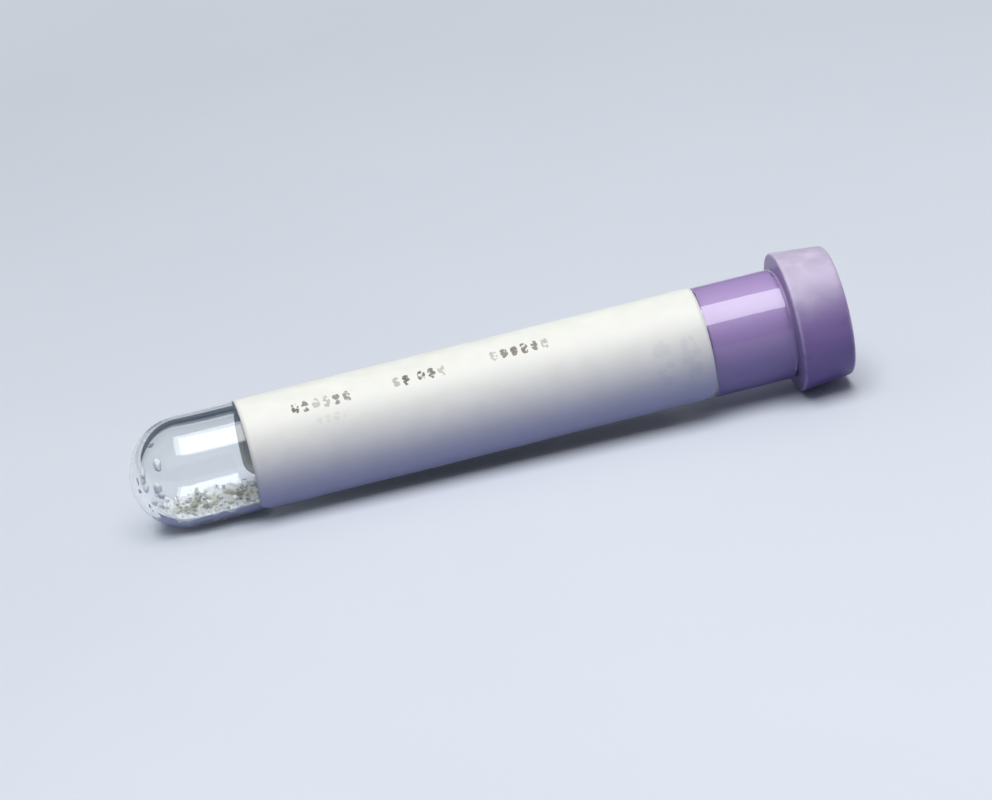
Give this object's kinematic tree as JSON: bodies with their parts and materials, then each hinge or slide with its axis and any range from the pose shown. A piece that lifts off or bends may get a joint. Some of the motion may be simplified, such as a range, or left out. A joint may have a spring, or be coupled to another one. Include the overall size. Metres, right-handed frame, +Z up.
{
  "type": "blood collection tube",
  "caption": "Round-bottomed glass blood collection tube with a pushed-in rubber stopper and a wrapped paper label, lying on its side.",
  "frame": {"origin": "middle of the footprint on the surface that the tube lies on", "axes": "+X along the tube from the round end to the stopper, +Z up, away from the surface"},
  "size_m": [0.0822, 0.016, 0.016],
  "materials": {
    "tube_glass": "clear, fire-polished",
    "stopper_rubber": "matte lavender moulded rubber",
    "label_paper": "matte white paper with faint print",
    "additive": "pale crystalline crust"
  },
  "bodies": {
    "tube": {"glass_tube": "tube_glass", "paper_label": "label_paper", "additive": "additive"},
    "stopper": {"stopper": "stopper_rubber"}
  },
  "joints": [
    {"name": "stopper_pull", "type": "slide", "parent": "tube", "child": "stopper", "axis": [0.9997, 0, 0.0246], "range_m": [0, 0.025]}
  ]
}
